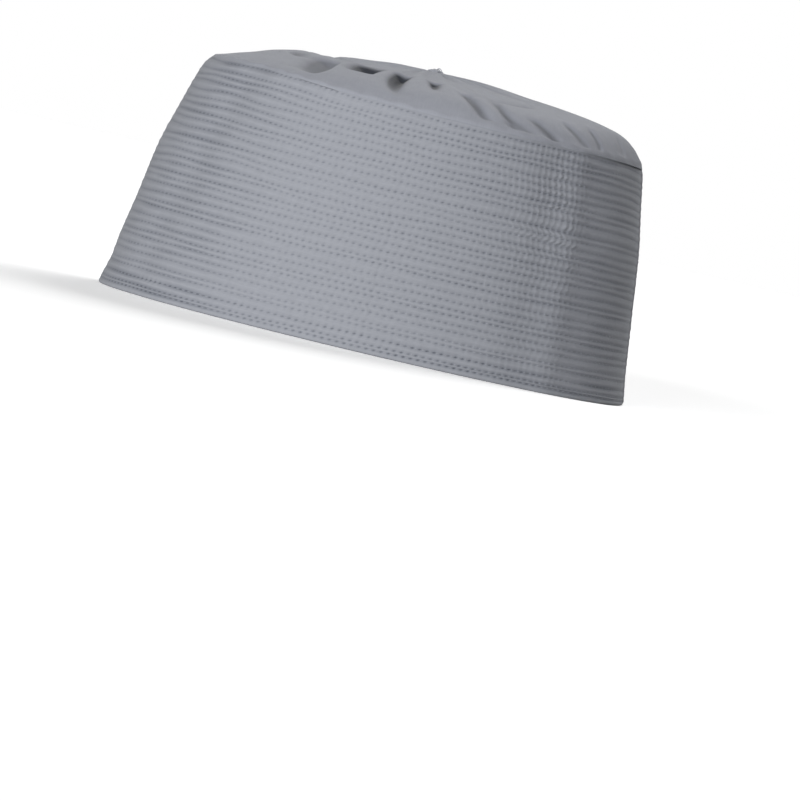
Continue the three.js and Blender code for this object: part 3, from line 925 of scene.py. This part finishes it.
def make_knot_threads():
    """The thread ends of the knot, small loops from its top outwards."""
    base = (KNOT_LOW + KNOT_HIGH) / 2
    base[2] = KNOT_HIGH[2] - LOOP_RADIUS
    t = np.linspace(0, 1, LOOP_STEPS)
    corners = 2 * np.pi * np.arange(LOOP_SIDES) / LOOP_SIDES
    points, faces = [], []
    for loop in KNOT_LOOPS:
        start = len(points) * LOOP_STEPS * LOOP_SIDES
        turn = math.radians(loop["angle"])
        along = np.array([math.cos(turn), math.sin(turn), 0])
        sideways = np.array([-math.sin(turn), math.cos(turn), 0])
        line = base + loop["reach"] * t[:, None] * along
        line[:, 2] += loop["rise"] * np.sin(np.pi * t) - LOOP_DROP * t
        across = np.cross(np.gradient(line, axis=0), sideways)
        across /= np.linalg.norm(across, axis=1)[:, None]
        tube = np.cos(corners)[None, :, None] * sideways + np.sin(corners)[None, :, None] * across[:, None]
        points.append((line[:, None] + LOOP_RADIUS * tube).reshape(-1, 3))
        for i in range(LOOP_STEPS - 1):
            low = start + i * LOOP_SIDES
            for j in range(LOOP_SIDES):
                after = (j + 1) % LOOP_SIDES
                faces.append([low + j, low + after, low + LOOP_SIDES + after, low + LOOP_SIDES + j])
        faces.append([start + j for j in reversed(range(LOOP_SIDES))])
        faces.append([start + (LOOP_STEPS - 1) * LOOP_SIDES + j for j in range(LOOP_SIDES)])
    return make_mesh("knot_threads", np.concatenate(points), faces)


def node(tree, kind, **values):
    """A node of a material, with its properties and the values of its inputs."""
    made = tree.nodes.new(kind)
    for name, value in values.items():
        if hasattr(made, name):
            setattr(made, name, value)
        else:
            made.inputs[name.replace("_", " ")].default_value = value
    return made


def math_node(tree, operation, first, second=None):
    """The result of an operation on one or two values, each a number or a node's output."""
    made = node(tree, "ShaderNodeMath", operation=operation)
    for socket, value in zip(made.inputs, (first, second)):
        if value is None:
            continue
        if isinstance(value, (int, float)):
            socket.default_value = value
        else:
            tree.links.new(value, socket)
    return made.outputs[0]


def shaded(tree, light, dark):
    """A colour that is light, a node's output or a colour, and turns dark by the painted shade on the
    mesh.
    """
    shade = node(tree, "ShaderNodeAttribute", attribute_name="shade")
    mixed = node(tree, "ShaderNodeMix", data_type="RGBA")
    tree.links.new(shade.outputs["Fac"], mixed.inputs["Factor"])
    if isinstance(light, tuple):
        mixed.inputs["A"].default_value = (*light, 1)
    else:
        tree.links.new(light, mixed.inputs["A"])
    mixed.inputs["B"].default_value = (*dark, 1)
    return mixed.outputs["Result"]


def thread_material(name, colour, dark):
    """Smooth thread, darkened by the painted shade that its mesh carries."""
    material = plain_material(name, colour, THREAD_ROUGHNESS)
    tree = material.node_tree
    tree.links.new(shaded(tree, colour, dark), tree.nodes["Principled BSDF"].inputs["Base Color"])
    return material


def cloth_material(name, colour, dark, bump):
    """Woven cloth: a plain weave in the bump, uneven yarn in the colour, and dark where the mesh has
    painted shade.
    """
    material = bpy.data.materials.new(name)
    material.use_nodes = True
    tree = material.node_tree
    shader = tree.nodes["Principled BSDF"]
    shader.inputs["Roughness"].default_value = CLOTH_ROUGHNESS
    shader.inputs["Specular IOR Level"].default_value = CLOTH_SPECULAR
    shader.inputs["Sheen Weight"].default_value = CLOTH_SHEEN
    shader.inputs["Sheen Roughness"].default_value = CLOTH_SHEEN_ROUGHNESS
    link = tree.links.new

    place = node(tree, "ShaderNodeUVMap", uv_map="cloth")
    parts = node(tree, "ShaderNodeSeparateXYZ")
    link(place.outputs["UV"], parts.inputs[0])
    turns = 2 * math.pi / WEAVE_MM
    warp = math_node(tree, "SINE", math_node(tree, "MULTIPLY", parts.outputs["X"], turns))
    weft = math_node(tree, "MULTIPLY", parts.outputs["Y"], turns * WEFT_TO_WARP)
    weave = math_node(tree, "MULTIPLY", warp, math_node(tree, "SINE", weft))

    spots = node(tree, "ShaderNodeTexNoise", **SPOTS)
    link(place.outputs["UV"], spots.inputs["Vector"])
    yarn_place = node(tree, "ShaderNodeMapping")
    yarn_place.inputs["Scale"].default_value = YARN_STRETCH
    link(place.outputs["UV"], yarn_place.inputs["Vector"])
    yarn = node(tree, "ShaderNodeTexNoise", **YARN)
    link(yarn_place.outputs["Vector"], yarn.inputs["Vector"])
    halves = (math_node(tree, "MULTIPLY", noise.outputs["Fac"], 0.5) for noise in (spots, yarn))
    ramp = node(tree, "ShaderNodeValToRGB")
    for end, yarn_look in zip(ramp.color_ramp.elements, (DARK_YARN, LIGHT_YARN)):
        end.position = yarn_look["place"]
        end.color = (*(yarn_look["share"] * c for c in colour), 1)
    link(math_node(tree, "ADD", *halves), ramp.inputs["Fac"])
    link(shaded(tree, ramp.outputs["Color"], dark), shader.inputs["Base Color"])

    bumps = node(tree, "ShaderNodeBump", Strength=bump, Distance=BUMP_METRES)
    uneven = math_node(tree, "MULTIPLY", spots.outputs["Fac"], SPOTS_IN_BUMP)
    link(math_node(tree, "ADD", weave, uneven), bumps.inputs["Height"])
    link(bumps.outputs["Normal"], shader.inputs["Normal"])
    return material


def plain_material(name, colour, roughness, glow=0):
    """A material of one colour, which may glow white a little."""
    material = bpy.data.materials.new(name)
    material.use_nodes = True
    shader = material.node_tree.nodes["Principled BSDF"]
    shader.inputs["Base Color"].default_value = (*colour, 1)
    shader.inputs["Roughness"].default_value = roughness
    shader.inputs["Emission Color"].default_value = WHITE
    shader.inputs["Emission Strength"].default_value = glow
    return material


def glowing_material(name, strength):
    """A material that takes no light and only glows white."""
    material = bpy.data.materials.new(name)
    material.use_nodes = True
    tree = material.node_tree
    tree.nodes.clear()
    glow = node(tree, "ShaderNodeEmission", Strength=strength)
    out = tree.nodes.new("ShaderNodeOutputMaterial")
    tree.links.new(glow.outputs[0], out.inputs["Surface"])
    return material


def make_stage():
    """A pale floor and a low pale wall all round it."""
    count = STAGE_SIDES
    turns = 2 * np.pi * np.arange(count) / count
    rim = np.stack([np.cos(turns), np.sin(turns), np.zeros(count)], axis=1) * STAGE_RADIUS / MM
    floor = make_mesh("floor", rim, [list(range(count))])
    floor.data.materials.append(plain_material("pale floor", FLOOR_COLOUR, FLOOR_ROUGHNESS, FLOOR_GLOW))
    top = rim + [0, 0, STAGE_WALL / MM]
    sides = [[i, i + count, (i + 1) % count + count, (i + 1) % count] for i in range(count)]
    backdrop = make_mesh("backdrop", np.concatenate([rim, top]), sides)
    backdrop.data.materials.append(glowing_material("pale wall", WALL_GLOW))
    for piece in (floor, backdrop):
        piece.visible_diffuse = False
        piece.visible_glossy = False
        piece.visible_shadow = False


def sun(name, azimuth, elevation, strength, softness):
    """A soft light from far away, at an azimuth that turns as the angles of the cap do."""
    light = bpy.data.lights.new(name, "SUN")
    light.energy = strength * math.pi
    light.angle = math.radians(softness)
    piece = bpy.data.objects.new(name, light)
    a, e = math.radians(azimuth), math.radians(elevation)
    towards = Vector((math.cos(a) * math.cos(e), math.sin(a) * math.cos(e), math.sin(e)))
    piece.rotation_mode = "QUATERNION"
    piece.rotation_quaternion = towards.to_track_quat("Z", "Y")
    bpy.context.scene.collection.objects.link(piece)


def make_lights():
    """Two soft suns and a weak white world."""
    for light in SUNS:
        sun(**light)
    world = bpy.data.worlds.new("studio")
    world.use_nodes = True
    background = world.node_tree.nodes["Background"]
    background.inputs["Color"].default_value = WHITE
    background.inputs["Strength"].default_value = WORLD_STRENGTH
    bpy.context.scene.world = world


def make_camera():
    """The photograph's view: from the wearer's left, level with the crown's seam, and tipped."""
    data = bpy.data.cameras.new("camera")
    data.sensor_width = SENSOR_WIDTH
    data.lens = CAMERA_DISTANCE / MM_PER_PIXEL / PHOTO_SIDE * SENSOR_WIDTH
    camera = bpy.data.objects.new("camera", data)
    place = Vector((CAMERA_DISTANCE, LOOK_AT[1], CAMERA_HEIGHT)) * MM
    back = (place - Vector(LOOK_AT) * MM).normalized()
    level = Vector((0, 0, 1)).cross(back).normalized()
    upright = back.cross(level)
    roll = math.radians(PICTURE_ROLL)
    right = level * math.cos(roll) + upright * math.sin(roll)
    up = upright * math.cos(roll) - level * math.sin(roll)
    turn = Matrix((right, up, back)).transposed().to_4x4()
    camera.matrix_world = Matrix.Translation(place) @ turn
    bpy.context.scene.collection.objects.link(camera)
    bpy.context.scene.camera = camera
    bpy.context.scene.view_settings.view_transform = "Standard"


make_camera()
make_stage()
make_lights()

band = make_band()
band.data.materials.append(cloth_material("stitched cloth", CLOTH_COLOUR, STITCH_SHADE_COLOUR, BAND_BUMP))
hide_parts("band")
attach(band, "root")

stitches = make_stitches()
stitches.data.materials.append(thread_material("thread", THREAD_COLOUR, STITCH_SHADE_COLOUR))
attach(stitches, "root")

crown = make_crown()
crown.data.materials.append(cloth_material("plain cloth", CROWN_COLOUR, FOLD_SHADE_COLOUR, CROWN_BUMP))
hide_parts("crown")
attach(crown, "root")

knot = make_knot()
knot.data.materials.append(cloth_material("knot cloth", CROWN_COLOUR, FOLD_SHADE_COLOUR, CROWN_BUMP))
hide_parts("gather_knot")
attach(knot, "root")

threads = make_knot_threads()
threads.data.materials.append(thread_material("knot thread", THREAD_COLOUR, STITCH_SHADE_COLOUR))
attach(threads, "root")
